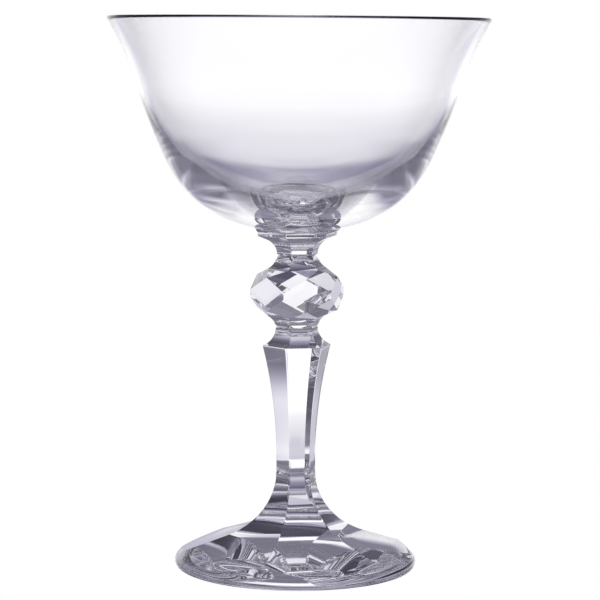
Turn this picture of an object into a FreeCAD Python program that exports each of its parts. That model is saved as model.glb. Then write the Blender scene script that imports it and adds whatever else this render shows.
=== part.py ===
import FreeCAD, Part
import math
import os

# Cut-crystal coupe: a blown bowl fused to a six-sided cut stem that stands on a petal-cut foot.
# Millimetres, +Z up, origin at the centre of the resting plane.
# The six cut edges of the stem lie on +X and every 60 degrees from it.

# Overall sizes
glass_height = 145.0
rim_diameter = 100.0
foot_diameter = 64.0

# Bowl, outside: base, heel, belly and flare are four arcs that meet smoothly
bowl_height = 56.3            # underside of the bowl to the rim
flare_height = 17.5           # waist to the rim
flare_overhang = 7.65         # how far the rim stands out past the waist
waist_slope = 17.3            # degrees from upright
belly_slope = 25.7            # degrees from upright where the belly meets the heel
base_radius = 54.0            # radius of curvature of the underside
base_slope = 16.0             # degrees from level where the base meets the heel

# Bowl, inside
rim_wall = 1.1
waist_wall = 1.45             # measured level
floor_thickness = 5.2
cavity_belly_slope = 31.5
cavity_base_radius = 48.0
cavity_base_slope = 18.4
lip_slope = 29.5              # degrees from upright of the wall at the lip

# Merese: a six-sided wafer under the bowl. Apothem is half the distance across flats.
merese_apothem = 9.3
merese_drop = 0.7             # lower corner of its side, below the bowl's underside
merese_height = 5.55          # bowl's underside to the upper neck
merese_cut_slope = 25.0       # degrees from level of the wafer's underside at its edge

# Upper and lower necks
upper_neck_apothem = 4.78
lower_neck_apothem = 5.0

# Knop
knop_apothem = 11.0
knop_upper_length = 10.0      # knop's middle to the upper neck
knop_lower_length = 9.4       # knop's middle to the lower neck
knop_side_edge = 1.8          # height of the upright edge between two lozenge facets
knop_corner_height = 4.4      # knop's middle to the top or bottom corner of a lozenge
knop_cut_slope = 24.0         # degrees from level of the neck cuts at those corners

# Stem column
shoulder_apothem = 8.05
shoulder_drop = 4.65          # lower neck to the shoulder's sharp edge
shoulder_cut_slope = 30.0     # degrees from level
column_apothem = 4.62         # at its slimmest
column_straight = 3.5         # length of the slimmest stretch, above the foot

# Foot
foot_height = 25.3            # resting plane to where the flare begins
flare_radius = 17.6           # concave sweep from the column into the petals
petal_inset = 0.8             # petal tips stop this far inside the foot's widest circle
petal_tip_height = 3.3
foot_edge_height = 1.7        # height of the widest circle
foot_edge_radius = 2.0        # rounding above the widest circle
foot_band_slope = 42.0        # degrees from level of the band outside the petals
foot_band_top = 9.0           # height to which the band's cone is carried before the petals are cut
rest_ring_width = 3.6
foot_hollow_depth = 1.3

sides = 6
half_side_angle = 180.0 / sides
cut_reach = 200.0             # length of a cutting bar, longer than anything that it cuts

# Heights that follow from the sizes above
rim_radius = rim_diameter / 2
foot_radius = foot_diameter / 2
bowl_underside = glass_height - bowl_height
upper_neck_height = bowl_underside - merese_height
knop_middle = upper_neck_height - knop_upper_length
lower_neck_height = knop_middle - knop_lower_length
shoulder_height = lower_neck_height - shoulder_drop
waist_height = glass_height - flare_height


def sine(degrees):
    return math.sin(math.radians(degrees))


def cosine(degrees):
    return math.cos(math.radians(degrees))


def tangent(degrees):
    return math.tan(math.radians(degrees))


def vec(x, z):
    """A point of an outline, in the XZ plane."""
    return FreeCAD.Vector(x, 0, z)


def line(start, end):
    return Part.LineSegment(start, end).toShape()


def arc(start, middle, end):
    return Part.Arc(start, middle, end).toShape()


def rising_arc(start, radius, first_slope, last_slope):
    """Arc from start whose climb turns from first_slope to last_slope, in degrees from level."""
    def at(slope):
        across = radius * (sine(slope) - sine(first_slope))
        up = radius * (cosine(first_slope) - cosine(slope))
        return start + vec(across, up)

    end = at(last_slope)
    return arc(start, at((first_slope + last_slope) / 2), end), end


def bowl_outline(underside, waist_radius, curvature, end_of_base, end_of_belly, lip):
    """Edges from the axis to the lip: base, heel, belly and flare.

    The heel's and belly's radii are solved so that the chain reaches the waist."""
    waist = vec(waist_radius, waist_height)
    base, heel_start = rising_arc(vec(0, underside), curvature, 0, end_of_base)
    top_of_heel = 90 - end_of_belly
    top_of_belly = 90 - waist_slope
    heel_across = sine(top_of_heel) - sine(end_of_base)
    heel_up = cosine(end_of_base) - cosine(top_of_heel)
    belly_across = sine(top_of_belly) - sine(top_of_heel)
    belly_up = cosine(top_of_heel) - cosine(top_of_belly)
    gap = waist - heel_start
    share = heel_across * belly_up - heel_up * belly_across
    heel_radius = (gap.x * belly_up - gap.z * belly_across) / share
    belly_radius = (gap.z * heel_across - gap.x * heel_up) / share
    heel, belly_start = rising_arc(heel_start, heel_radius, end_of_base, top_of_heel)
    belly = rising_arc(belly_start, belly_radius, top_of_heel, top_of_belly)[0]

    # The flare leaves the waist along the belly's slope and bends outward to the lip.
    chord = lip - waist
    chord_slope = math.degrees(math.atan2(chord.x, chord.z))
    bend = chord_slope - waist_slope
    sagitta = chord.Length / 2 * tangent(bend / 2)
    toward_axis = vec(-cosine(chord_slope), sine(chord_slope))
    flare = arc(waist, waist + chord * 0.5 + toward_axis * sagitta, lip)
    return [base, heel, belly, flare]


def revolved(edges):
    """Solid of revolution about the Z axis of a closed outline."""
    face = Part.Face(Part.Wire(Part.__sortEdges__(edges)))
    return face.revolve(FreeCAD.Vector(0, 0, 0), FreeCAD.Vector(0, 0, 1), 360)


def lip_points(wall):
    """Outer, top and inner points of the rounded lip, which leans outward with the wall."""
    centre = vec(rim_radius - wall / 2, glass_height - wall / 2)
    across = vec(cosine(lip_slope), -sine(lip_slope)) * (wall / 2)
    along = vec(sine(lip_slope), cosine(lip_slope)) * (wall / 2)
    return centre + across, centre + along, centre - across


def outer_bowl_edges(lip):
    return bowl_outline(bowl_underside, rim_radius - flare_overhang, base_radius,
                        base_slope, belly_slope, lip)


def bowl():
    outer_lip, top_lip, inner_lip = lip_points(rim_wall)
    outside = outer_bowl_edges(outer_lip)
    cavity_floor = bowl_underside + floor_thickness
    inside = bowl_outline(cavity_floor, rim_radius - flare_overhang - waist_wall, cavity_base_radius,
                          cavity_base_slope, cavity_belly_slope, inner_lip)
    axis = line(vec(0, bowl_underside), vec(0, cavity_floor))
    return revolved(outside + [arc(outer_lip, top_lip, inner_lip)] + inside + [axis])


def filled_bowl():
    """The bowl without its cavity, used to shape what seats against its underside."""
    outer_lip = lip_points(rim_wall)[0]
    cover = line(outer_lip, vec(0, outer_lip.z))
    axis = line(vec(0, outer_lip.z), vec(0, bowl_underside))
    return revolved(outer_bowl_edges(outer_lip) + [cover, axis])


def mirrored(edge):
    return edge.mirror(FreeCAD.Vector(0, 0, 0), FreeCAD.Vector(1, 0, 0))


def cut_bars(edges, low, high, first_angle):
    """Solid left by three equal bars crossing at 60 degrees: a six-sided stem section.

    edges are the +X side of a bar, from its lowest point to its highest."""
    floor = line(vec(-low.x, low.z), low)
    roof = line(vec(-high.x, high.z), high)
    outline = edges + [mirrored(edge) for edge in edges] + [floor, roof]
    face = Part.Face(Part.Wire(Part.__sortEdges__(outline)))
    face.translate(FreeCAD.Vector(0, -cut_reach / 2, 0))
    bar = face.extrude(FreeCAD.Vector(0, cut_reach, 0))
    solid = None
    for step in range(sides // 2):
        turned = bar.copy()
        angle = first_angle + step * 2 * half_side_angle
        turned.rotate(FreeCAD.Vector(0, 0, 0), FreeCAD.Vector(0, 0, 1), angle)
        solid = turned if solid is None else solid.common(turned)
    return solid


def neck_sweep(neck, edge, slope):
    """Hollow-ground cut: an arc that leaves the neck upright, then a straight run to the edge.

    The edge may lie above or below the neck. The arc's radius is solved so that the two meet smoothly."""
    turn = 90 - slope
    way = 1 if edge.z > neck.z else -1
    rise = abs(edge.z - neck.z)
    reach = edge.x - neck.x
    radius = (rise - reach * tangent(slope)) / (sine(turn) - (1 - cosine(turn)) * tangent(slope))

    def at(angle):
        return neck + vec(radius * (1 - cosine(angle)), way * radius * sine(angle))

    return [arc(neck, at(turn / 2), at(turn)), line(at(turn), edge)]


def merese():
    neck = vec(upper_neck_apothem, upper_neck_height)
    side_foot = vec(merese_apothem, bowl_underside - merese_drop)
    side_top = vec(merese_apothem, bowl_underside + merese_height)
    edges = neck_sweep(neck, side_foot, merese_cut_slope) + [line(side_foot, side_top)]
    return cut_bars(edges, neck, side_top, half_side_angle).cut(filled_bowl())


def knop():
    lower_neck = vec(lower_neck_apothem, lower_neck_height)
    upper_neck = vec(upper_neck_apothem, upper_neck_height)
    lower_corner = vec(knop_apothem, knop_middle - knop_corner_height)
    upper_corner = vec(knop_apothem, knop_middle + knop_corner_height)
    edges = neck_sweep(lower_neck, lower_corner, knop_cut_slope) + [line(lower_corner, upper_corner)]
    edges += neck_sweep(upper_neck, upper_corner, knop_cut_slope)
    body = cut_bars(edges, lower_neck, upper_neck, half_side_angle)

    # Slanting facets: planes square to the six edge directions. Each starts at the end of an upright
    # side edge and leaves a lozenge with its corners at knop_corner_height.
    corner_radius = knop_apothem / cosine(half_side_angle)
    half_edge = knop_side_edge / 2
    lean = (corner_radius - knop_apothem * cosine(half_side_angle)) / (knop_corner_height - half_edge)
    neck_clearance = 1.2
    run_out = max(upper_neck_apothem, lower_neck_apothem) / cosine(half_side_angle) + neck_clearance
    run_out_drop = half_edge + (corner_radius - run_out) / lean
    end = run_out_drop + knop_upper_length + knop_lower_length
    points = []
    for drop, reach in ((-end, run_out), (-run_out_drop, run_out), (-half_edge, corner_radius),
                        (half_edge, corner_radius), (run_out_drop, run_out), (end, run_out)):
        points.append(vec(reach, knop_middle + drop))
    facets = [line(start, stop) for start, stop in zip(points, points[1:])]
    return body.common(cut_bars(facets, points[0], points[-1], 0))


def stem():
    slim_start = vec(column_apothem, foot_height)
    slim_end = vec(column_apothem, foot_height + column_straight)
    shoulder = vec(shoulder_apothem, shoulder_height)
    neck = vec(lower_neck_apothem, lower_neck_height)
    # The column's faces are hollow-ground: one long arc, upright at its slim end.
    across = shoulder.x - slim_end.x
    up = shoulder.z - slim_end.z
    radius = (across ** 2 + up ** 2) / (2 * across)
    half_turn = math.degrees(math.asin(up / radius)) / 2
    halfway = slim_end + vec(radius * (1 - cosine(half_turn)), radius * sine(half_turn))
    edges = [line(slim_start, slim_end), arc(slim_end, halfway, shoulder)]
    edges += neck_sweep(neck, shoulder, shoulder_cut_slope)
    return cut_bars(edges, slim_start, neck, half_side_angle)


def petal_cut():
    """Six-sided solid under the petals' faces: a straight run in from the rim, then the concave sweep."""
    top = vec(column_apothem, foot_height)
    centre = top + vec(flare_radius, 0)
    tip = vec(foot_radius - petal_inset, petal_tip_height)
    # The straight run is the tangent from the petal's tip to the sweep's circle.
    gap = centre - tip
    lift = math.degrees(math.atan2(gap.z, gap.x))
    spread = math.degrees(math.acos(flare_radius / gap.Length))
    contact_angle = lift + 180 - spread
    contact = centre + vec(cosine(contact_angle), sine(contact_angle)) * flare_radius
    middle_angle = (contact_angle + 180) / 2
    middle = centre + vec(cosine(middle_angle), sine(middle_angle)) * flare_radius
    run = contact - tip
    past_rim = tip - run * (2 * foot_edge_radius / run.Length)
    start = vec(past_rim.x, 0)
    edges = [line(start, past_rim), line(past_rim, contact), arc(contact, middle, top)]
    return cut_bars(edges, start, top, half_side_angle)


def foot_blank():
    """Round foot before the petals are cut, with its rounded edge, resting ring and hollow."""
    widest = vec(foot_radius, foot_edge_height)
    round_centre = vec(foot_radius - foot_edge_radius, foot_edge_height)
    band_normal = 90 - foot_band_slope
    band_foot = round_centre + vec(cosine(band_normal), sine(band_normal)) * foot_edge_radius
    upper_middle = round_centre + vec(cosine(band_normal / 2), sine(band_normal / 2)) * foot_edge_radius
    band_top = vec(band_foot.x - (foot_band_top - band_foot.z) / tangent(foot_band_slope), foot_band_top)
    ring_outer = vec(foot_radius - foot_edge_height, 0)
    lower_middle = vec(foot_radius - foot_edge_height * (1 - cosine(45)), foot_edge_height * (1 - sine(45)))
    ring_inner = vec(ring_outer.x - rest_ring_width, 0)
    hollow_top = vec(0, foot_hollow_depth)
    hollow_radius = (ring_inner.x ** 2 + foot_hollow_depth ** 2) / (2 * foot_hollow_depth)
    half_turn = math.degrees(math.asin(ring_inner.x / hollow_radius)) / 2
    hollow_middle = hollow_top + vec(hollow_radius * sine(half_turn), -hollow_radius * (1 - cosine(half_turn)))
    over_top = vec(band_top.x, foot_height)
    return revolved([
        arc(hollow_top, hollow_middle, ring_inner),
        line(ring_inner, ring_outer),
        arc(ring_outer, lower_middle, widest),
        arc(widest, upper_middle, band_foot),
        line(band_foot, band_top),
        line(band_top, over_top),
        line(over_top, vec(0, foot_height)),
        line(vec(0, foot_height), hollow_top),
    ])


def foot():
    return petal_cut().common(foot_blank())


os.makedirs("parts", exist_ok=True)
for name, make in (("bowl", bowl), ("merese", merese), ("knop", knop), ("stem", stem), ("foot", foot)):
    shape = make().removeSplitter()
    if len(shape.Solids) == 1:
        shape = shape.Solids[0]
    shape.exportStep("parts/" + name + ".step")
    box = shape.optimalBoundingBox(False, False)
    print("%-7s %d solid, valid %s, %8.1f mm3, z %6.2f to %6.2f, across %6.2f"
          % (name, len(shape.Solids), shape.isValid(), shape.Volume, box.ZMin, box.ZMax, box.XLength))
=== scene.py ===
import bpy
import bmesh
from math import acos, asin, atan2, cos, degrees, hypot, pi, radians, sin, sqrt, tan
from mathutils import Matrix, Vector


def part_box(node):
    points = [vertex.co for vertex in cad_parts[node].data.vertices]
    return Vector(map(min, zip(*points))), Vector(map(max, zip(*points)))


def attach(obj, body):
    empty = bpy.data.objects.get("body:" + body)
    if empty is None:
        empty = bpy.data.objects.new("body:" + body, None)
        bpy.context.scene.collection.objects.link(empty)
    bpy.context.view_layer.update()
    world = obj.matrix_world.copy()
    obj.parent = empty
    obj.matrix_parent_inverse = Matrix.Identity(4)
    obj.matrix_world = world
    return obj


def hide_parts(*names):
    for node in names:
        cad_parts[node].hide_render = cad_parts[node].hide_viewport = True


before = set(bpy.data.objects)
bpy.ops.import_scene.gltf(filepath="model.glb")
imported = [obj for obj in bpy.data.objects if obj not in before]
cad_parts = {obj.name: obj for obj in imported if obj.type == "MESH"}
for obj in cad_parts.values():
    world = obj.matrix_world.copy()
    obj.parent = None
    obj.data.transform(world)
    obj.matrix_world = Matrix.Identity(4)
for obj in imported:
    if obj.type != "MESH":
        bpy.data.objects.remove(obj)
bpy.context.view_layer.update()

mm = 0.001
scene = bpy.context.scene


class Wire:
    # one output socket of a node tree, so that shader maths reads as plain sums

    def __init__(self, tree, socket=None):
        self.tree = tree
        self.socket = socket

    def node(self, kind, settings=None, inputs=None, out=0):
        made = self.tree.nodes.new(kind)
        for name, value in (settings or {}).items():
            setattr(made, name, value)
        for name, value in (inputs or {}).items():
            target = made.inputs[name]
            if isinstance(value, Wire):
                self.tree.links.new(value.socket, target)
            else:
                target.default_value = value
        return Wire(self.tree, made.outputs[out]) if made.outputs else made

    def maths(self, operation, *values):
        return self.node("ShaderNodeMath", {"operation": operation}, dict(enumerate(values)))

    def __add__(self, other):
        return self.maths("ADD", self, other)

    def __radd__(self, other):
        return self.maths("ADD", other, self)

    def __sub__(self, other):
        return self.maths("SUBTRACT", self, other)

    def __rsub__(self, other):
        return self.maths("SUBTRACT", other, self)

    def __mul__(self, other):
        return self.maths("MULTIPLY", self, other)

    def __rmul__(self, other):
        return self.maths("MULTIPLY", other, self)

    def __truediv__(self, other):
        return self.maths("DIVIDE", self, other)

    def __rtruediv__(self, other):
        return self.maths("DIVIDE", other, self)

    def __abs__(self):
        return self.maths("ABSOLUTE", self)

    def root(self):
        return self.maths("SQRT", self)

    def greatest(self, other):
        return self.maths("MAXIMUM", self, other)

    def arcSine(self):
        return self.maths("ARCSINE", self) * (180 / pi)      # degrees

    def bearingFrom(self, ahead):
        # degrees from dead ahead, with this socket as the way across
        return self.maths("ARCTAN2", self, ahead) * (180 / pi)

    def ramp(self, low, high):
        # 0 at low, 1 at high, eased in between
        return self.node("ShaderNodeMapRange", {"interpolation_type": "SMOOTHSTEP"},
                         {"Value": self, "From Min": low, "From Max": high})

    def table(self, stops):
        # reads (value, level) pairs with straight runs between them, and holds the end levels beyond
        first, last = stops[0][0], stops[-1][0]
        made = self.node("ShaderNodeValToRGB", inputs={"Fac": (self - first) / (last - first)})
        ramp = made.socket.node.color_ramp
        while len(ramp.elements) < len(stops):
            ramp.elements.new(1.0)
        for element, (value, level) in zip(ramp.elements, stops):
            element.position = (value - first) / (last - first)
            element.color = (level, level, level, 1)
        return made

    def choose(self, atZero, atOne):
        # a colour between two, with this socket as the share
        return self.node("ShaderNodeMix", {"data_type": "RGBA"},
                         {"Factor": self, "A": atZero, "B": atOne}, out="Result")

    def along(self, direction):
        # how far this vector reaches in a direction
        return self.node("ShaderNodeVectorMath", {"operation": "DOT_PRODUCT"},
                         {0: self, 1: direction}, out="Value")


def newMaterial(name):
    material = bpy.data.materials.new(name)
    material.use_nodes = True
    material.node_tree.nodes.clear()
    return material, Wire(material.node_tree)


crystal = {
    "ior": 1.52,
    "tint": (0.975, 0.970, 0.985, 1.0),
    "rippleSize": 14 * mm,       # slow waves left by fire polishing
    "rippleDepth": 0.0012 * mm,
    "rippleDetail": (2.0, 0.45),
    "rippleOnCuts": 0.5,         # polished cuts are flatter than the blown bowl
    "smudgeSize": 9 * mm,        # faint wiping marks
    "smudgeDetail": (5.0, 0.6),
    "smudgeReach": (0.52, 0.75),
    "smudgeRoughness": 0.004,
    "grainSize": 0.5 * mm,       # the ground ring under the foot
    "grainDepth": 0.004 * mm,
    "grainStrength": 0.2,
    "grainDetail": (6.0, 0.7),
    "scuffSize": 4 * mm,
    "scuffDetail": (4.0, 0.6),
    "scuffReach": (0.4, 0.7),
    "groundRoughness": 0.02,
    "scuffRoughness": 0.05,
}


def noiseOver(new, place, kind):
    detail, rough = crystal[kind + "Detail"]
    return new.node("ShaderNodeTexNoise", inputs={
        "Vector": place, "Scale": 1 / crystal[kind + "Size"], "Detail": detail, "Roughness": rough})


def setGlass(new, roughness, bump):
    glass = new.node("ShaderNodeBsdfPrincipled", inputs={
        "Base Color": crystal["tint"], "IOR": crystal["ior"], "Transmission Weight": 1.0,
        "Roughness": roughness, "Normal": bump})
    new.node("ShaderNodeOutputMaterial", inputs={"Surface": glass})


def makeCrystal(name, ripple):
    material, new = newMaterial(name)
    place = new.node("ShaderNodeTexCoord", out="Object")
    waves = noiseOver(new, place, "ripple")
    bump = new.node("ShaderNodeBump", inputs={
        "Strength": 1.0, "Distance": crystal["rippleDepth"] * ripple, "Height": waves})
    smudge = noiseOver(new, place, "smudge").ramp(*crystal["smudgeReach"])
    setGlass(new, smudge * crystal["smudgeRoughness"], bump)
    return material


def makeSeam():
    # the hot-fused joint between two pieces, which light passes as if it were not there
    material, new = newMaterial("fusedSeam")
    clear = new.node("ShaderNodeBsdfPrincipled", inputs={
        "Base Color": (1, 1, 1, 1), "Roughness": 0.5, "Specular IOR Level": 0.0, "Alpha": 0.0})
    new.node("ShaderNodeOutputMaterial", inputs={"Surface": clear})
    return material


def makeGroundRing():
    # the ring that the foot stands on: ground flat, then scuffed by tables
    material, new = newMaterial("groundRing")
    place = new.node("ShaderNodeTexCoord", out="Object")
    grain = noiseOver(new, place, "grain")
    scuffs = noiseOver(new, place, "scuff").ramp(*crystal["scuffReach"])
    bump = new.node("ShaderNodeBump", inputs={
        "Strength": crystal["grainStrength"], "Distance": crystal["grainDepth"], "Height": grain})
    setGlass(new, scuffs * crystal["scuffRoughness"] + crystal["groundRoughness"], bump)
    return material


blownCrystal = makeCrystal("blownCrystal", 1)
cutCrystal = makeCrystal("cutCrystal", crystal["rippleOnCuts"])
fusedSeam = makeSeam()
groundRing = makeGroundRing()
print("stage 2: materials made")


# outlines are lists of (radius, height) in mm
def climbingArc(start, radius, firstSlope, lastSlope, steps):
    # points of an arc whose climb turns from one slope to the other, in degrees from level
    points = []
    for step in range(1, steps + 1):
        slope = radians(firstSlope + (lastSlope - firstSlope) * step / steps)
        across = radius * (sin(slope) - sin(radians(firstSlope)))
        up = radius * (cos(radians(firstSlope)) - cos(slope))
        points.append((start[0] + across, start[1] + up))
    return points


def straightRun(start, end, steps):
    return [(start[0] + (end[0] - start[0]) * step / steps,
             start[1] + (end[1] - start[1]) * step / steps) for step in range(1, steps + 1)]


def hollowCut(neck, edge, slope, steps):
    # a wheel-cut hollow: upright at the neck, then bending out to a straight run that ends at the edge
    turn = radians(90 - slope)
    steep = tan(radians(slope))
    way = 1 if edge[1] > neck[1] else -1
    rise = abs(edge[1] - neck[1])
    reach = edge[0] - neck[0]
    radius = (rise - reach * steep) / (sin(turn) - (1 - cos(turn)) * steep)
    points = [neck]
    for step in range(1, steps + 1):
        angle = turn * step / steps
        points.append((neck[0] + radius * (1 - cos(angle)), neck[1] + way * radius * sin(angle)))
    return points + straightRun(points[-1], edge, max(2, steps // 4))


def inMillimetres(corner):
    return tuple(part / mm for part in corner)


# where each material sits in a piece's list
glassIndex, seamIndex, groundIndex = 0, 1, 2
samePoint = 0.0005 * mm          # points closer than this are merged
sliceSlack = 0.0001 * mm         # points this near to a facet's plane count as on it


def addRing(mesh, points):
    return [mesh.verts.new((x * mm, y * mm, z * mm)) for x, y, z in points]


def joinRings(mesh, low, high, material=glassIndex):
    count = len(low)
    for i in range(count):
        j = (i + 1) % count
        mesh.faces.new((low[i], low[j], high[j], high[i])).material_index = material


def fanTo(mesh, ring, point, material=glassIndex):
    tip = mesh.verts.new(tuple(part * mm for part in point))
    for i in range(len(ring)):
        mesh.faces.new((ring[i], ring[(i + 1) % len(ring)], tip)).material_index = material


def capJoint(mesh, ring):
    # a flat end that is fused to the next piece
    mesh.faces.new(ring).material_index = seamIndex


def roundEdges(mesh, width, flattest=12):
    # a narrow polished round on every edge that bends more than flattest degrees, apart from the joints
    mesh.normal_update()
    picked = []
    for edge in mesh.edges:
        faces = edge.link_faces
        if len(faces) == 2 and all(face.material_index != seamIndex for face in faces):
            if edge.calc_face_angle(0) > radians(flattest):
                picked.append(edge)
    bmesh.ops.bevel(mesh, geom=picked, offset=width * mm, offset_type="OFFSET", segments=2,
                    profile=0.5, affect="EDGES", clamp_overlap=True, material=-1)


def finishPiece(mesh, name, materials, node):
    bmesh.ops.remove_doubles(mesh, verts=mesh.verts, dist=samePoint)
    bmesh.ops.recalc_face_normals(mesh, faces=mesh.faces)
    data = bpy.data.meshes.new(name)
    mesh.to_mesh(data)
    mesh.free()
    data.polygons.foreach_set("use_smooth", [True] * len(data.polygons))
    piece = bpy.data.objects.new(name, data)
    scene.collection.objects.link(piece)
    for material in materials:
        data.materials.append(material)
    weighted = piece.modifiers.new("weightedNormals", "WEIGHTED_NORMAL")
    weighted.weight = 100
    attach(piece, "root")
    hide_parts(node)
    print("  ", name, len(data.polygons), "faces")


# lengths are in mm and slopes in degrees from level, unless a note says otherwise
bowl = {
    "flareHeight": 17.5,
    "flareOverhang": 7.65,
    "waistSlope": 17.3,          # from upright, as the belly and lip are
    "bellySlope": 25.7,
    "baseRadius": 54.0,
    "baseSlope": 16.0,           # slope where the base gives way to the heel
    "rimWall": 1.1,
    "waistWall": 1.45,
    "floor": 5.2,                # thickness of glass at the middle of the base
    "cavityBellySlope": 31.5,
    "cavityBaseRadius": 48.0,
    "cavityBaseSlope": 18.4,
    "lipSlope": 29.5,
    "jointRadius": 11.3,         # the round weld where the merese is fused on
    "jointMargin": 0.4,          # the bowl's own rings start this far outside the weld
    "columns": 224,
    "baseSteps": 20,
    "heelSteps": 60,
    "bellySteps": 44,
    "flareSteps": 36,
    "lipSteps": 10,
}
jointShares = (0.3, 0.65, 1.0)   # rings of the weld, as shares of its radius
bowlLow, bowlHigh = map(inMillimetres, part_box("bowl"))
underside = bowlLow[2]
rimHeight = bowlHigh[2]
rimRadius = bowlHigh[0]


def bowlOutline(bottom, waistRadius, curvature, baseSlope, bellySlope, lip):
    # base, heel, belly and flare; the heel's and belly's radii follow from reaching the waist
    waist = (waistRadius, rimHeight - bowl["flareHeight"])
    base = [(0, bottom)] + climbingArc((0, bottom), curvature, 0, baseSlope, bowl["baseSteps"])
    heelStart = base[-1]
    heelEnd, bellyEnd = 90 - bellySlope, 90 - bowl["waistSlope"]
    sines = [sin(radians(slope)) for slope in (baseSlope, heelEnd, bellyEnd)]
    cosines = [cos(radians(slope)) for slope in (baseSlope, heelEnd, bellyEnd)]
    heelAcross, heelUp = sines[1] - sines[0], cosines[0] - cosines[1]
    bellyAcross, bellyUp = sines[2] - sines[1], cosines[1] - cosines[2]
    gapAcross, gapUp = waist[0] - heelStart[0], waist[1] - heelStart[1]
    share = heelAcross * bellyUp - heelUp * bellyAcross
    heelRadius = (gapAcross * bellyUp - gapUp * bellyAcross) / share
    bellyRadius = (gapUp * heelAcross - gapAcross * heelUp) / share
    heel = climbingArc(heelStart, heelRadius, baseSlope, heelEnd, bowl["heelSteps"])
    belly = climbingArc(heel[-1], bellyRadius, heelEnd, bellyEnd, bowl["bellySteps"])

    # the flare starts along the belly's slope and bends outward to the lip
    chordSlope = atan2(lip[0] - waist[0], lip[1] - waist[1])
    bend = 2 * (chordSlope - radians(bowl["waistSlope"]))
    flareRadius = hypot(lip[0] - waist[0], lip[1] - waist[1]) / (2 * sin(bend / 2))
    flare = climbingArc(waist, -flareRadius, bellyEnd, bellyEnd - degrees(bend), bowl["flareSteps"])
    return base + heel + belly + flare


def lipRound():
    # outer end, round and inner end of the lip, which leans outward with the wall
    half = bowl["rimWall"] / 2
    centre = (rimRadius - half, rimHeight - half)
    lean = radians(bowl["lipSlope"])
    angles = [-lean + pi * step / bowl["lipSteps"] for step in range(bowl["lipSteps"] + 1)]
    return [(centre[0] + half * cos(angle), centre[1] + half * sin(angle)) for angle in angles]


def baseHeight(radius):
    # height of the bowl's underside inside its base arc
    return underside + bowl["baseRadius"] - sqrt(bowl["baseRadius"] ** 2 - radius ** 2)


def circle(radius, height, columns):
    return [(radius * cos(2 * pi * i / columns), radius * sin(2 * pi * i / columns), height)
            for i in range(columns)]


def makeBowl():
    columns = bowl["columns"]
    lip = lipRound()
    outside = bowlOutline(underside, rimRadius - bowl["flareOverhang"], bowl["baseRadius"],
                          bowl["baseSlope"], bowl["bellySlope"], lip[0])
    inside = bowlOutline(underside + bowl["floor"],
                         rimRadius - bowl["flareOverhang"] - bowl["waistWall"],
                         bowl["cavityBaseRadius"], bowl["cavityBaseSlope"],
                         bowl["cavityBellySlope"], lip[-1])
    mesh = bmesh.new()

    # the round patch where the merese is fused on
    weld = bowl["jointRadius"]
    rings = [addRing(mesh, circle(weld * share, baseHeight(weld * share), columns))
             for share in jointShares]
    fanTo(mesh, rings[0], (0, 0, underside), seamIndex)
    for low, high in zip(rings, rings[1:]):
        joinRings(mesh, low, high, seamIndex)
    previous = rings[-1]
    shell = [point for point in outside if point[0] > weld + bowl["jointMargin"]]
    shell += lip[1:-1] + inside[:0:-1]
    for radius, height in shell:
        ring = addRing(mesh, circle(radius, height, columns))
        joinRings(mesh, previous, ring)
        previous = ring
    fanTo(mesh, previous, (0, 0, inside[0][1]))
    finishPiece(mesh, "bowlGlass", [blownCrystal, fusedSeam], "bowl")


makeBowl()
print("stage 3: bowl blown")


def hexagonRing(apothem, height, perSide=1):
    # corner first, then perSide points along each side
    corner = apothem / cos(pi / 6)
    points = []
    for side in range(6):
        start, end = side * pi / 3, (side + 1) * pi / 3
        for step in range(perSide):
            share = step / perSide
            x = corner * (cos(start) * (1 - share) + cos(end) * share)
            y = corner * (sin(start) * (1 - share) + sin(end) * share)
            points.append((x, y, height))
    return points


def hexagonBody(mesh, outline, perSide=1):
    rings = [addRing(mesh, hexagonRing(apothem, height, perSide)) for apothem, height in outline]
    for low, high in zip(rings, rings[1:]):
        joinRings(mesh, low, high)
    return rings


merese = {
    "drop": 0.7,                 # foot of the upright side, below the bowl's lowest point
    "shoulder": 0.35,            # top of the upright side, above the bowl's lowest point
    "cutSlope": 25.0,
    "neck": 4.78,                # half of the width across flats, where the knop begins
    "edgeWidth": 0.25,           # polished round on each cut edge
    "sideSteps": 8,              # points along each side, so that the weld comes out round
    "hollowSteps": 14,
    "filletSteps": 4,            # from the top edge to the weld
}
mereseLow, mereseHigh = map(inMillimetres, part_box("merese"))


def makeMerese():
    mesh = bmesh.new()
    neck = (merese["neck"], mereseLow[2])
    apothem = mereseHigh[1]
    sideFoot = (apothem, underside - merese["drop"])
    perSide = merese["sideSteps"]
    outline = hollowCut(neck, sideFoot, merese["cutSlope"], merese["hollowSteps"])
    outline.append((apothem, underside + merese["shoulder"]))
    rings = hexagonBody(mesh, outline, perSide)
    capJoint(mesh, rings[0])
    previous = rings[-1]

    # from the hexagon's top edge the fused glass swells out and up to the round weld under the bowl
    edge = hexagonRing(apothem, outline[-1][1], perSide)
    weld = bowl["jointRadius"]
    for step in range(1, merese["filletSteps"] + 1):
        ease = step / merese["filletSteps"]
        points = []
        for x, y, height in edge:
            reach = hypot(x, y)
            radius = reach + (weld - reach) * ease
            lift = (baseHeight(weld) - height) * ease ** 2
            points.append((x / reach * radius, y / reach * radius, height + lift))
        ring = addRing(mesh, points)
        joinRings(mesh, previous, ring)
        previous = ring
    for share in jointShares[-2::-1]:
        radius = weld * share
        ring = addRing(mesh, [(x / hypot(x, y) * radius, y / hypot(x, y) * radius, baseHeight(radius))
                              for x, y, height in edge])
        joinRings(mesh, previous, ring, seamIndex)
        previous = ring
    fanTo(mesh, previous, (0, 0, underside), seamIndex)
    roundEdges(mesh, merese["edgeWidth"])
    finishPiece(mesh, "mereseGlass", [cutCrystal, fusedSeam], "merese")


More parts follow.
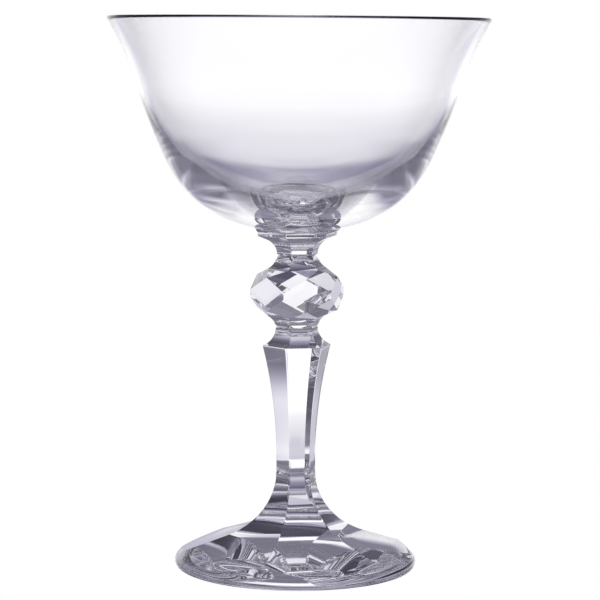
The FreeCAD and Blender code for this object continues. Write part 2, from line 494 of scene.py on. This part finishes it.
knop = {
    "upperLength": 10.0,         # from the knop's middle up to the merese
    "sideEdge": 1.8,             # upright edge left between two slanting facets
    "cornerHeight": 4.4,
    "cutSlope": 24.0,
    "lowerNeck": 5.0,            # half of the width across flats, where the stem begins
    "edgeWidth": 0.25,
    "hollowSteps": 16,
    "flatWithin": 0.2,           # neighbouring faces that bend less than this many degrees become one
}
knopLow, knopHigh = map(inMillimetres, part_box("knop"))


def cutFacet(mesh, point, normal):
    # grinds one flat facet and closes it
    geometry = mesh.verts[:] + mesh.edges[:] + mesh.faces[:]
    result = bmesh.ops.bisect_plane(mesh, geom=geometry, dist=sliceSlack, plane_co=point,
                                    plane_no=normal, clear_outer=True)
    rim = [part for part in result["geom_cut"] if isinstance(part, bmesh.types.BMEdge)]
    bmesh.ops.holes_fill(mesh, edges=rim, sides=0)


def makeKnop():
    mesh = bmesh.new()
    apothem = knopHigh[1]
    middle = knopHigh[2] - knop["upperLength"]
    lowerCorner = (apothem, middle - knop["cornerHeight"])
    upperCorner = (apothem, middle + knop["cornerHeight"])
    slope, steps = knop["cutSlope"], knop["hollowSteps"]
    outline = hollowCut((knop["lowerNeck"], knopLow[2]), lowerCorner, slope, steps)
    outline += hollowCut((merese["neck"], knopHigh[2]), upperCorner, slope, steps)[::-1]
    rings = hexagonBody(mesh, outline)
    capJoint(mesh, rings[0])
    capJoint(mesh, rings[-1])

    # slanting facets, square to the six edge directions
    cornerRadius = apothem / cos(pi / 6)
    halfEdge = knop["sideEdge"] / 2
    lean = (cornerRadius - apothem * cos(pi / 6)) / (knop["cornerHeight"] - halfEdge)
    for side in range(6):
        angle = side * pi / 3
        for way in (1, -1):
            point = Vector((cornerRadius * cos(angle), cornerRadius * sin(angle), middle + way * halfEdge))
            normal = Vector((cos(angle), sin(angle), way * lean)).normalized()
            cutFacet(mesh, point * mm, normal)
    bmesh.ops.dissolve_limit(mesh, angle_limit=radians(knop["flatWithin"]),
                             verts=mesh.verts, edges=mesh.edges)
    roundEdges(mesh, knop["edgeWidth"])
    finishPiece(mesh, "knopGlass", [cutCrystal, fusedSeam], "knop")


stem = {
    "columnApothem": 4.62,       # at its slimmest, above the foot
    "columnStraight": 3.5,
    "shoulderDrop": 4.65,        # from the knop down to the widest line
    "shoulderCutSlope": 30.0,
    "edgeWidth": 0.25,
    "columnSteps": 24,
    "shoulderSteps": 14,
}
stemLow, stemHigh = map(inMillimetres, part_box("stem"))


def makeStem():
    mesh = bmesh.new()
    footTop = stemLow[2]
    slimEnd = (stem["columnApothem"], footTop + stem["columnStraight"])
    shoulder = (stemHigh[1], stemHigh[2] - stem["shoulderDrop"])
    across, up = shoulder[0] - slimEnd[0], shoulder[1] - slimEnd[1]
    radius = (across ** 2 + up ** 2) / (2 * across)
    outline = [(stem["columnApothem"], footTop), slimEnd]
    turn = asin(up / radius)
    for step in range(1, stem["columnSteps"] + 1):
        angle = turn * step / stem["columnSteps"]
        outline.append((slimEnd[0] + radius * (1 - cos(angle)), slimEnd[1] + radius * sin(angle)))
    neck = (knop["lowerNeck"], stemHigh[2])
    outline += hollowCut(neck, shoulder, stem["shoulderCutSlope"], stem["shoulderSteps"])[-2::-1]
    rings = hexagonBody(mesh, outline)
    capJoint(mesh, rings[0])
    capJoint(mesh, rings[-1])
    roundEdges(mesh, stem["edgeWidth"])
    finishPiece(mesh, "stemGlass", [cutCrystal, fusedSeam], "stem")


makeMerese()
makeKnop()
makeStem()
print("stage 4: stem cut")


foot = {
    "flareRadius": 17.6,         # hollow sweep from the column out to the petals
    "petalInset": 0.8,           # how far a petal's tip stays inside the foot's edge
    "petalTipHeight": 3.3,
    "edgeHeight": 1.7,           # widest line of the foot, and the round below it
    "edgeRadius": 2.0,           # the round above it
    "bandSlope": 42.0,           # band between the petals and the edge
    "ringWidth": 3.6,            # ground ring that the foot stands on
    "hollowDepth": 1.3,
    "columnsPerPetal": 24,
    "sweepSteps": 26,
    "runSteps": 8,
    "bandSteps": 3,
    "roundSteps": 6,
    "edgeSteps": 8,
    "hollowSteps": 12,
    "edgeWidth": 0.3,
    "flattestEdge": 9,           # edges that bend less than this many degrees stay as they are
}
footHigh = inMillimetres(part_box("foot")[1])


def makeFoot():
    radius, top = footHigh[0], footHigh[2]
    apothem = stem["columnApothem"]
    centre = (apothem + foot["flareRadius"], top)
    tip = (radius - foot["petalInset"], foot["petalTipHeight"])
    gap = (centre[0] - tip[0], centre[1] - tip[1])
    contact = atan2(gap[1], gap[0]) + pi - acos(foot["flareRadius"] / hypot(*gap))
    contactPoint = (centre[0] + foot["flareRadius"] * cos(contact),
                    centre[1] + foot["flareRadius"] * sin(contact))
    fall = (contactPoint[1] - tip[1]) / (tip[0] - contactPoint[0])
    bandNormal = radians(90 - foot["bandSlope"])
    roundCentre = (radius - foot["edgeRadius"], foot["edgeHeight"])
    bandFoot = (roundCentre[0] + foot["edgeRadius"] * cos(bandNormal),
                roundCentre[1] + foot["edgeRadius"] * sin(bandNormal))
    bandFall = tan(radians(foot["bandSlope"]))

    def creaseRadius(lean):
        # where a petal's flat run meets the band: both fall outward, so the crossing is a straight solve
        # tip height + fall * (tip - r cos lean) = band foot height + bandFall * (bandFoot - r)
        return ((bandFoot[1] + bandFall * bandFoot[0] - tip[1] - fall * tip[0])
                / (bandFall - fall * cos(lean)))

    perPetal = foot["columnsPerPetal"]
    columns = 6 * perPetal
    angles = [2 * pi * i / columns for i in range(columns)]
    leans = [abs((angle % (pi / 3)) - pi / 6) for angle in angles]
    mesh = bmesh.new()

    def polarRing(radii, heights):
        return addRing(mesh, [(r * cos(a), r * sin(a), z) for a, r, z in zip(angles, radii, heights)])

    def evenRing(r, z):
        return polarRing([r] * columns, [z] * columns)

    rings = []
    for step in range(foot["sweepSteps"] + 1):
        angle = pi + (contact - pi) * step / foot["sweepSteps"]
        flat = centre[0] + foot["flareRadius"] * cos(angle)
        height = centre[1] + foot["flareRadius"] * sin(angle)
        rings.append(polarRing([flat / cos(lean) for lean in leans], [height] * columns))
    for step in range(1, foot["runSteps"] + 1):
        radii, heights = [], []
        for lean in leans:
            startRadius = contactPoint[0] / cos(lean)
            endRadius = creaseRadius(lean)
            r = startRadius + (endRadius - startRadius) * step / foot["runSteps"]
            radii.append(r)
            heights.append(tip[1] + fall * (tip[0] - r * cos(lean)))
        rings.append(polarRing(radii, heights))
    for step in range(1, foot["bandSteps"] + 1):
        radii, heights = [], []
        for lean in leans:
            start = creaseRadius(lean)
            r = start + (bandFoot[0] - start) * step / foot["bandSteps"]
            radii.append(r)
            heights.append(bandFoot[1] + bandFall * (bandFoot[0] - r))
        rings.append(polarRing(radii, heights))
    for step in range(1, foot["roundSteps"] + 1):
        angle = bandNormal * (1 - step / foot["roundSteps"])
        rings.append(evenRing(roundCentre[0] + foot["edgeRadius"] * cos(angle),
                              roundCentre[1] + foot["edgeRadius"] * sin(angle)))
    for step in range(1, foot["edgeSteps"] + 1):
        angle = -pi / 2 * step / foot["edgeSteps"]
        rings.append(evenRing(radius - foot["edgeHeight"] + foot["edgeHeight"] * cos(angle),
                              foot["edgeHeight"] + foot["edgeHeight"] * sin(angle)))
    ringOuter = radius - foot["edgeHeight"]
    ringInner = ringOuter - foot["ringWidth"]
    firstGround = len(rings) - 1
    rings.append(evenRing(ringInner, 0))
    hollowRadius = (ringInner ** 2 + foot["hollowDepth"] ** 2) / (2 * foot["hollowDepth"])
    for step in range(1, foot["hollowSteps"]):
        r = ringInner * (1 - step / foot["hollowSteps"])
        z = foot["hollowDepth"] - hollowRadius + sqrt(hollowRadius ** 2 - r ** 2)
        rings.append(evenRing(r, z))
    capJoint(mesh, rings[0])
    for i, (first, second) in enumerate(zip(rings, rings[1:])):
        joinRings(mesh, first, second, groundIndex if i == firstGround else glassIndex)
    fanTo(mesh, rings[-1], (0, 0, foot["hollowDepth"]))
    bmesh.ops.recalc_face_normals(mesh, faces=mesh.faces)
    roundEdges(mesh, foot["edgeWidth"], flattest=foot["flattestEdge"])
    finishPiece(mesh, "footGlass", [cutCrystal, fusedSeam, groundRing], "foot")


makeFoot()
print("stage 5: foot cut")


studio = {
    "floorSize": 6.0,
    "floorDrop": 0.05 * mm,      # keeps the sheet clear of the ground ring
    "white": (1.0, 1.0, 1.0, 1.0),
    "shadeTint": (0.98, 0.93, 1.22, 1.0),       # what the dim parts of the set lean to

    # all bearings are degrees from dead ahead behind the glass, with minus to the left
    # light at the horizon by bearing; above 1 makes up for what the glass reflects away
    "backdropRound": [
        (-180, 0.12), (-120, 0.18), (-60, 0.22), (-45, 0.30), (-33, 1.0), (-10, 1.25), (6, 1.25),
        (15, 0.75), (28, 0.50), (36, 0.20), (46, 0.24), (90, 0.26), (130, 0.18), (180, 0.12)],
    "backdropTop": (13, 21),     # degrees up, where the backdrop gives way to the room
    "roomBehind": 0.20,
    "roomInFront": 0.08,
    "roomTurn": (80, 140),       # degrees aside, where one room level gives way to the other
    "middle": -2,                # bearing of the set's own middle

    # a soft panel overhead
    "panelLow": (52, 58),
    "panelHigh": (66, 72),
    "panelAside": (40, 70),
    "panelLevel": 0.9,

    # light from below the horizon by bearing, and by degrees up
    "sweepRound": [
        (-180, 0.85), (-105, 0.75), (-72, 0.50), (-60, 0.35), (-42, 0.45), (-31, 0.75), (-22, 1.0),
        (15, 1.0), (28, 0.95), (42, 0.65), (60, 0.40), (72, 0.50), (105, 0.75), (180, 0.85)],
    "sweepDown": [
        (-90, 0.08), (-60, 0.10), (-45, 0.16), (-35, 0.28), (-30, 0.50), (-25, 0.62), (-23, 0.72),
        (-21, 0.95), (-19, 1.16), (-15, 1.26), (-8, 1.20), (-4, 1.20), (0, 1.26)],
    "sweepNarrows": 0.0175,      # for each degree aside, how much sooner it dims
    "sweepNarrowEnd": (55, 100),
    "paperBelow": 0.85,          # straight down, the paper is lit again
    "paperReach": (-60, -49),

    # where the two halves of the set join: softly behind the glass, and lower round the room
    "joinBehind": (0, 8),
    "joinAround": (-6, -1),
    "joinTurn": (55, 85),

    # painted shade on the sheet, not cast by anything: how much light passes, by centimetres from the
    # glass
    "sheetShade": [
        (0, 0.80), (2.0, 0.65), (2.8, 0.42), (4, 0.38), (6, 0.46), (10, 0.49), (24, 0.52), (28, 0.57),
        (32, 0.65), (39, 0.70), (48, 0.75), (64, 0.80), (80, 0.87), (110, 0.94), (150, 1.0)],
    "sheetShadeAside": (24, 40),
    # lavender of the painted shade on the sheet
    "sheetShadeTint": (0.0, -0.02, 0.12),            # added to red, green and blue where the shade is full

    "lensLength": 144.4,
    "sensorWidth": 36.0,
    "nearest": 0.01,
    "farthest": 50.0,
    "distance": 629.5 * mm,
    "cameraHeight": 139.8 * mm,
    "azimuth": -14.0,
    "aim": -0.07,
    "pitchDown": 6.24,
    "roll": 0.45,
    "glassBounces": 32,          # light goes through many facets before it leaves the stem
    "glossyBounces": 24,
}
azimuth = radians(studio["azimuth"])
away = (-sin(azimuth), cos(azimuth), 0)
toRight = (cos(azimuth), sin(azimuth), 0)


def makeFloor():
    # the sheet is plain white to look at; to the glass it only dims the set's light where shade is painted
    # on it, by distance and bearing from the glass
    material, new = newMaterial("palePaper")
    place = new.node("ShaderNodeTexCoord", out="Object")
    ahead, across = place.along(away), place.along(toRight)
    distance = (ahead * ahead + across * across).root()
    aside = abs(across.bearingFrom(ahead) - studio["middle"])
    # painted shade: a light level read off by distance from the glass, fading out to the sides
    shade = (distance * 100).table(studio["sheetShade"])
    shade = shade + (1 - shade) * aside.ramp(*studio["sheetShadeAside"])
    red, green, blue = [shade + (1 - shade) * tint for tint in studio["sheetShadeTint"]]
    passed = new.node("ShaderNodeCombineXYZ", inputs={"X": red, "Y": green, "Z": blue})
    gel = new.node("ShaderNodeBsdfTransparent", inputs={"Color": passed})
    paper = new.node("ShaderNodeEmission", inputs={"Color": studio["white"], "Strength": 1.0})
    seen = new.node("ShaderNodeLightPath", out="Is Camera Ray")
    sheet = new.node("ShaderNodeMixShader", inputs={0: seen, 1: gel, 2: paper})
    new.node("ShaderNodeOutputMaterial", inputs={"Surface": sheet})

    half = studio["floorSize"] / 2
    mesh = bmesh.new()
    corners = ((-half, -half), (half, -half), (half, half), (-half, half))
    mesh.faces.new([mesh.verts.new((x, y, 0)) for x, y in corners])
    data = bpy.data.meshes.new("studioFloor")
    mesh.to_mesh(data)
    mesh.free()
    data.materials.append(material)
    floor = bpy.data.objects.new("studioFloor", data)
    floor.location.z = -studio["floorDrop"]
    scene.collection.objects.link(floor)


def makeWorld():
    world = bpy.data.worlds.new("softStudio")
    scene.world = world
    world.use_nodes = True
    world.node_tree.nodes.clear()
    new = Wire(world.node_tree)
    direction = new.node("ShaderNodeTexCoord", out="Generated")
    climb = new.node("ShaderNodeSeparateXYZ", inputs={"Vector": direction}, out="Z").arcSine()
    turn = direction.along(toRight).bearingFrom(direction.along(away))
    aside = abs(turn - studio["middle"])

    # above the horizon: the lit backdrop, the dim room over and round it, and the panel overhead
    fallInFront = studio["roomBehind"] - studio["roomInFront"]
    room = studio["roomBehind"] - aside.ramp(*studio["roomTurn"]) * fallInFront
    backdrop = turn.table(studio["backdropRound"])
    upper = room + (backdrop - room) * (1 - climb.ramp(*studio["backdropTop"]))
    panel = climb.ramp(*studio["panelLow"]) * (1 - climb.ramp(*studio["panelHigh"]))
    panel = panel * (1 - aside.ramp(*studio["panelAside"])) * studio["panelLevel"]
    upper = upper.greatest(panel)

    # below the horizon the sweep dims towards the set, and sooner to the sides
    narrowing = aside * studio["sweepNarrows"] * (1 - aside.ramp(*studio["sweepNarrowEnd"]))
    lower = (climb * (narrowing + 1)).table(studio["sweepDown"]) * turn.table(studio["sweepRound"])
    below = 1 - climb.ramp(*studio["paperReach"])
    lower = lower * (1 - below) + below * studio["paperBelow"]

    around = aside.ramp(*studio["joinTurn"])
    join = climb.ramp(*studio["joinBehind"]) * (1 - around) + climb.ramp(*studio["joinAround"]) * around
    level = upper * join + lower * (1 - join)
    tinted = (level * level).choose(studio["shadeTint"], studio["white"])
    seen = new.node("ShaderNodeLightPath", out="Is Camera Ray")
    background = new.node("ShaderNodeBackground", inputs={
        "Color": seen.choose(tinted, studio["white"]), "Strength": level * (1 - seen) + seen})
    new.node("ShaderNodeOutputWorld", inputs={"Surface": background})


def makeCamera():
    data = bpy.data.cameras.new("studioCamera")
    data.lens = studio["lensLength"]
    data.sensor_width = studio["sensorWidth"]
    data.clip_start = studio["nearest"]
    data.clip_end = studio["farthest"]
    camera = bpy.data.objects.new("studioCamera", data)
    scene.collection.objects.link(camera)
    place = Vector(away) * -studio["distance"] + Vector((0, 0, studio["cameraHeight"]))
    camera.matrix_world = (Matrix.Translation(place)
                           @ Matrix.Rotation(azimuth + radians(studio["aim"]), 4, "Z")
                           @ Matrix.Rotation(radians(90 - studio["pitchDown"]), 4, "X")
                           @ Matrix.Rotation(radians(studio["roll"]), 4, "Z"))
    scene.camera = camera


makeFloor()
makeWorld()
makeCamera()
scene.view_settings.view_transform = "Standard"
scene.cycles.max_bounces = studio["glassBounces"]
scene.cycles.transmission_bounces = studio["glassBounces"]
scene.cycles.transparent_max_bounces = studio["glassBounces"]
scene.cycles.glossy_bounces = studio["glossyBounces"]
print("stage 6: studio set")
